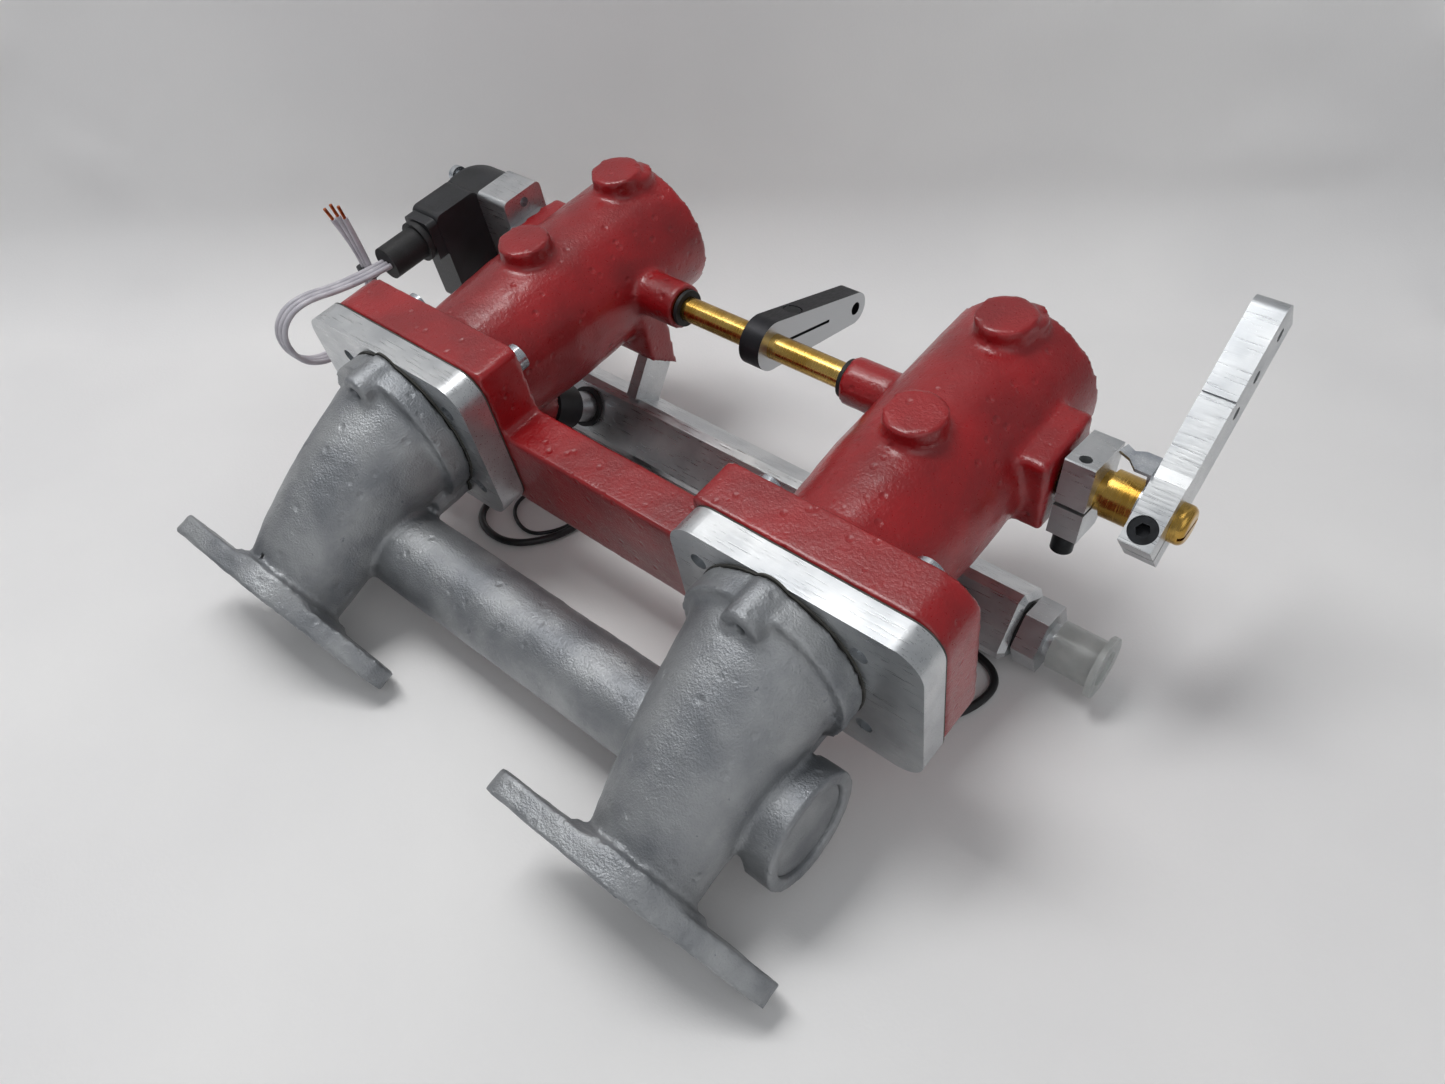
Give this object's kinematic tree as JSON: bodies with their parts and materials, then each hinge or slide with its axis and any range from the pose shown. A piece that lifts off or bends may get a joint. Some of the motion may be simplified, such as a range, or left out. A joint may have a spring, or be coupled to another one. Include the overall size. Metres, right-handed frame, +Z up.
{
  "type": "intake manifold",
  "caption": "Twin-runner intake manifold with red throttle bodies, brass throttle shaft and levers, fuel rail with injectors and position sensor.",
  "frame": {"origin": "centre of the bounding box's bottom face, free wires left out, on the surface that the manifold stands on", "axes": "+X along the throttle shaft towards the long lever, +Y from the engine flanges towards the air mouths, +Z up from the standing surface; the bores lean 9.2 degrees, mouths up"},
  "size_m": [0.3282, 0.2381, 0.1275],
  "materials": {
    "red_paint": "thick brushed red enamel over a rough casting, semi gloss",
    "cast_silver": "aluminium paint over a sand casting, satin with fine grain",
    "machined_alloy": "milled aluminium with fine tool lines",
    "brass": "drawn and turned brass, polished",
    "black_plastic": "moulded black plastic",
    "black_anodised": "black anodised aluminium with bare machined sides",
    "black_steel": "black oxide screw",
    "zinc_steel": "bright zinc plated steel",
    "rubber": "black nitrile",
    "gasket": "grey gasket paper",
    "clear_cap": "translucent natural plastic",
    "grey_wire": "grey wire insulation",
    "black_wire": "black wire insulation",
    "copper": "bare copper strands"
  },
  "bodies": {
    "manifold": {"adapter_plate_left": "machined_alloy", "adapter_plate_right": "machined_alloy", "balance_plugs": "cast_silver", "bare_tips": "copper", "bracket_screws": "zinc_steel", "ear_screws": "zinc_steel", "fitting_seal": "rubber", "flange_screws": "zinc_steel", "fuel_rail": "machined_alloy", "injector_connector_left": "black_plastic", "injector_connector_right": "black_plastic", "injector_lead_left": "black_wire", "injector_lead_right": "black_wire", "injector_left": "machined_alloy", "injector_right": "machined_alloy", "injector_seals": "rubber", "injector_wire_left": "black_wire", "lead_plug_left": "black_plastic", "lead_plug_right": "black_plastic", "manifold_casting": "cast_silver", "plate_gaskets": "gasket", "plug_boot": "rubber", "post_studs": "zinc_steel", "rail_end_plug": "machined_alloy", "rail_fitting": "machined_alloy", "rail_post_left": "machined_alloy", "rail_post_right": "machined_alloy", "ring_gaskets": "gasket", "sensor_body": "black_plastic", "sensor_bracket": "machined_alloy", "sensor_plug": "black_plastic", "sensor_screws": "zinc_steel", "sensor_spacer": "machined_alloy", "sensor_wire_a": "grey_wire", "sensor_wire_b": "grey_wire", "sensor_wire_c": "grey_wire", "shaft_bushes": "brass", "shaft_seals": "rubber", "shipping_cap": "clear_cap", "throttle_casting": "red_paint", "wire_tie": "black_plastic"},
    "spindle": {"throttle_shaft": "brass", "throttle_disc_left": "brass", "throttle_disc_right": "brass", "disc_screws": "zinc_steel", "centre_lever": "black_anodised", "centre_lever_screw": "black_steel", "clamp_block": "machined_alloy", "clamp_screw": "black_steel", "spacer_collar": "brass", "tab_washer": "zinc_steel", "long_lever": "machined_alloy", "lever_screw": "black_steel", "shaft_end_screw": "brass", "sensor_rotor": "black_plastic"}
  },
  "joints": [
    {"name": "throttle", "type": "hinge", "parent": "manifold", "child": "spindle", "pos_m": [0.00445, 0.05964, 0.07852], "axis": [1, 0, 0], "range_deg": [0, 80]}
  ]
}
